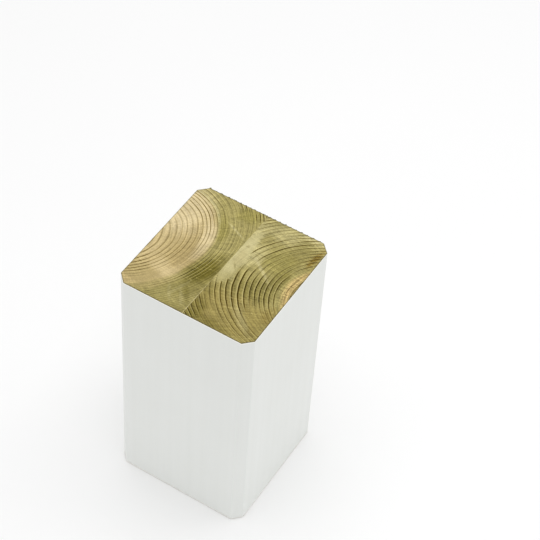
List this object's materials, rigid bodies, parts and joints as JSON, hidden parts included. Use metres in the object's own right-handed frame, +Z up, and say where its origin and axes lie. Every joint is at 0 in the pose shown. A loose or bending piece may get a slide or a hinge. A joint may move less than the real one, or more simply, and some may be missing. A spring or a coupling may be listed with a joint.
{
  "type": "laminated timber post",
  "caption": "Length of square laminated timber post: boards glued face to face, chamfered arrises, opaque white coat on the sides and bare sawn ends; stands upright to carry a load or a rail.",
  "frame": {"origin": "middle of the foot, on the surface the post stands on", "axes": "+Z up along the grain, X square to the glue line, Y along the glue line"},
  "size_m": [0.09, 0.09, 0.175],
  "materials": {
    "bare_pine": "sawn end grain of green-tinted pressure-treated pine, matt",
    "glue": "cured pale wood glue, satin",
    "white_paint": "opaque white wood paint, silk"
  },
  "bodies": {
    "root": {"left_lamination": "bare_pine", "right_lamination": "bare_pine", "glue_line": "glue", "paint_coat": "white_paint"}
  },
  "joints": []
}
